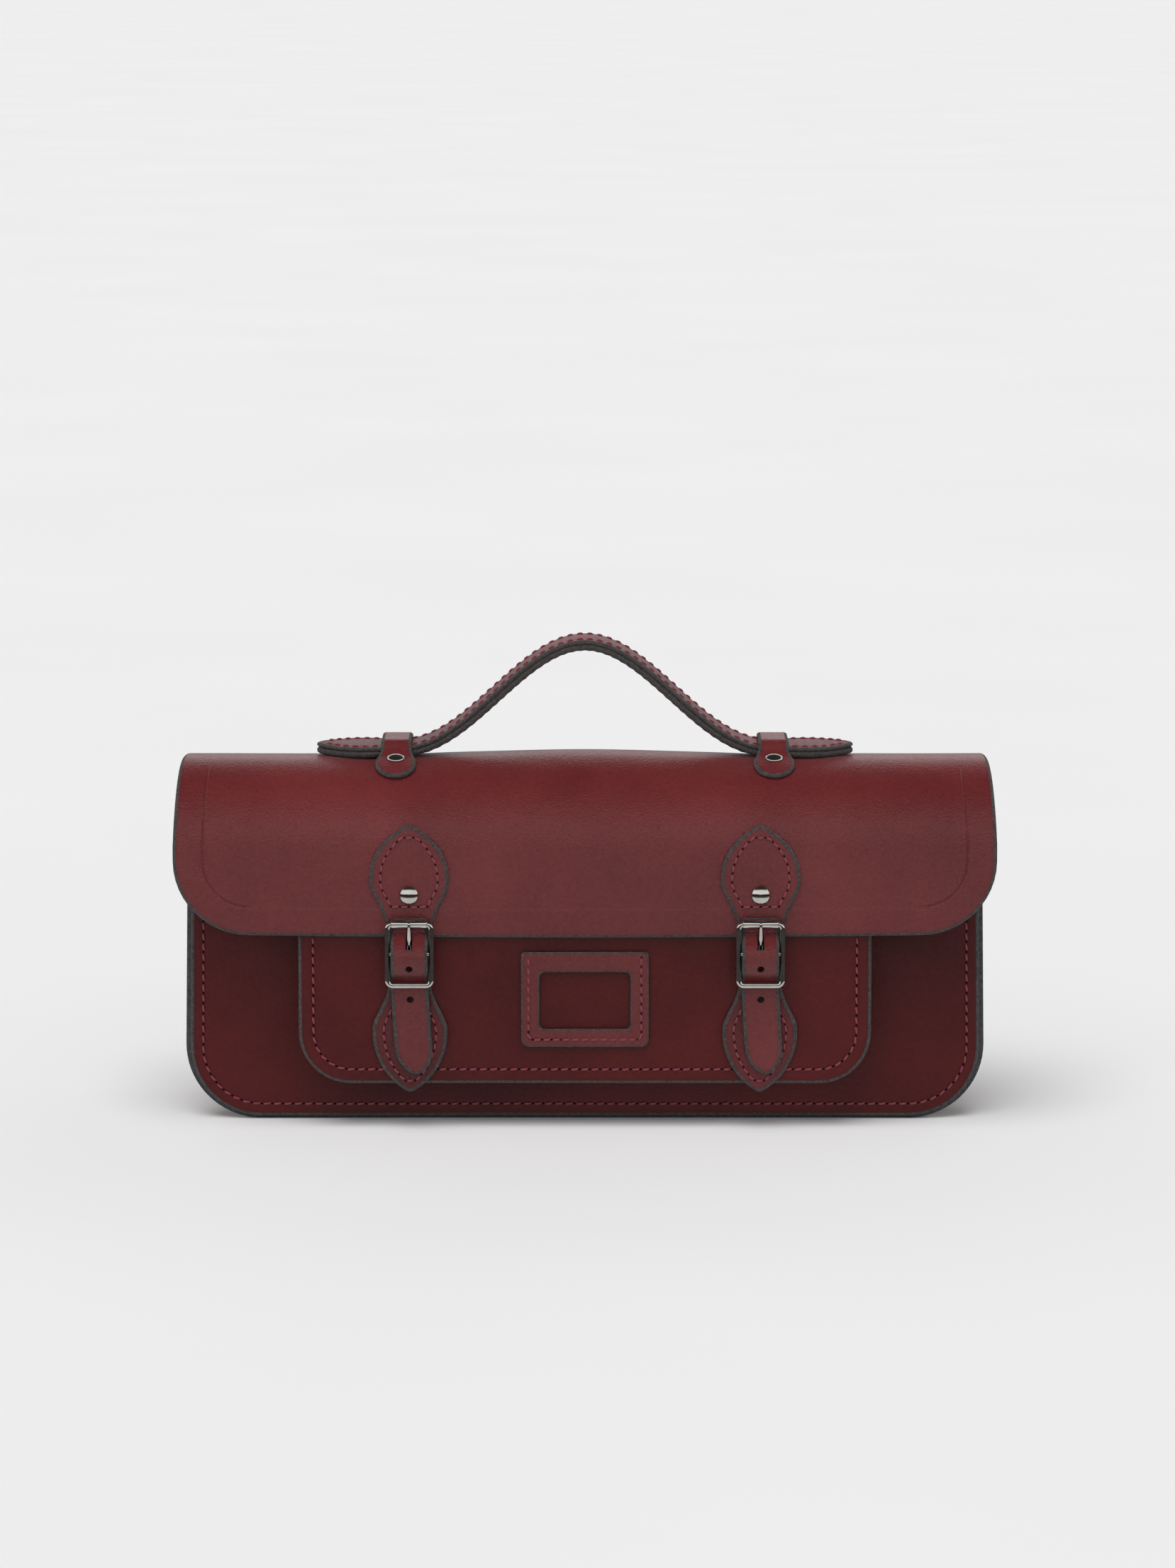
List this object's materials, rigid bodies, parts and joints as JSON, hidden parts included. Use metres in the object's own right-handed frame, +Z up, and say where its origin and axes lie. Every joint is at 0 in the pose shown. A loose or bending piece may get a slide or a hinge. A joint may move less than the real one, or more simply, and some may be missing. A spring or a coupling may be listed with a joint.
{
  "type": "satchel bag",
  "caption": "Wide leather satchel with a full flap, two buckled straps with hidden press studs, a gusseted front pocket with a name window, and a carrying handle held by loops.",
  "frame": {"origin": "middle of the base, at the bottom centre of the bounding box; the bag stands on its seam edges at Z = 0", "axes": "+Z up, +X to the right of someone who faces the flap, -Y out of the front, so the pocket and buckles face -Y"},
  "size_m": [0.409, 0.1222, 0.2438],
  "materials": {
    "smooth_leather": "satin oxblood, fine smooth grain, raw charcoal edges",
    "pebbled_leather": "oxblood with a coarser pebbled grain",
    "flesh_side_leather": "charcoal, matt, fibrous",
    "nickel_plate": "bright nickel plate on steel"
  },
  "bodies": {
    "bag": {"front_panel": "smooth_leather", "back_panel": "smooth_leather", "gusset": "smooth_leather", "pocket_panel": "smooth_leather", "pocket_gusset": "smooth_leather", "name_window": "smooth_leather", "lower_leaf_left": "pebbled_leather", "lower_leaf_right": "pebbled_leather", "stud_base_left": "nickel_plate", "stud_base_right": "nickel_plate"},
    "flap": {"flap": "smooth_leather", "handle_end_right": "pebbled_leather", "handle_end_left": "pebbled_leather", "upper_leaf_left": "smooth_leather", "leaf_rivet_left": "nickel_plate", "leaf_rivet_left_back": "nickel_plate", "loop_rivet_left_front": "nickel_plate", "loop_rivet_left_front_back": "nickel_plate", "loop_rivet_left_rear": "nickel_plate", "loop_rivet_left_rear_back": "nickel_plate", "handle_loop_left": "smooth_leather", "upper_leaf_right": "smooth_leather", "leaf_rivet_right": "nickel_plate", "leaf_rivet_right_back": "nickel_plate", "loop_rivet_right_front": "nickel_plate", "loop_rivet_right_front_back": "nickel_plate", "loop_rivet_right_rear": "nickel_plate", "loop_rivet_right_rear_back": "nickel_plate", "handle_loop_right": "smooth_leather"},
    "handle": {"handle_grip": "pebbled_leather", "handle_lining": "flesh_side_leather"},
    "left_strap": {"strap_left": "smooth_leather", "buckle_tab_left": "smooth_leather", "buckle_frame_left": "nickel_plate", "stud_cap_left": "nickel_plate"},
    "left_roller": {"roller_left": "nickel_plate"},
    "left_tongue": {"tongue_left": "nickel_plate"},
    "right_strap": {"strap_right": "smooth_leather", "buckle_tab_right": "smooth_leather", "buckle_frame_right": "nickel_plate", "stud_cap_right": "nickel_plate"},
    "right_roller": {"roller_right": "nickel_plate"},
    "right_tongue": {"tongue_right": "nickel_plate"}
  },
  "joints": [
    {"name": "flap_open", "type": "hinge", "parent": "bag", "child": "flap", "pos_m": [0, 0.06356, 0.1472], "axis": [-1, 0, 0], "range_deg": [0, 150]},
    {"name": "handle_lean", "type": "hinge", "parent": "flap", "child": "handle", "pos_m": [0, 0.00306, 0.193], "axis": [1, 0, 0], "range_deg": [-20, 20], "stiffness_Nm_per_rad": 0.06},
    {"name": "left_strap_lift", "type": "hinge", "parent": "flap", "child": "left_strap", "pos_m": [-0.0877, -0.05154, 0.11], "axis": [-1, 0, 0], "range_deg": [0, 75]},
    {"name": "left_roller_spin", "type": "hinge", "parent": "left_strap", "child": "left_roller", "pos_m": [-0.0877, -0.05504, 0.1065], "axis": [1, 0, 0], "continuous": true},
    {"name": "left_tongue_lift", "type": "hinge", "parent": "left_strap", "child": "left_tongue", "pos_m": [-0.0877, -0.05504, 0.09135], "axis": [1, 0, 0], "range_deg": [0, 18]},
    {"name": "right_strap_lift", "type": "hinge", "parent": "flap", "child": "right_strap", "pos_m": [0.0877, -0.05154, 0.11], "axis": [-1, 0, 0], "range_deg": [0, 75]},
    {"name": "right_roller_spin", "type": "hinge", "parent": "right_strap", "child": "right_roller", "pos_m": [0.0877, -0.05504, 0.1065], "axis": [1, 0, 0], "continuous": true},
    {"name": "right_tongue_lift", "type": "hinge", "parent": "right_strap", "child": "right_tongue", "pos_m": [0.0877, -0.05504, 0.09135], "axis": [1, 0, 0], "range_deg": [0, 18]}
  ]
}
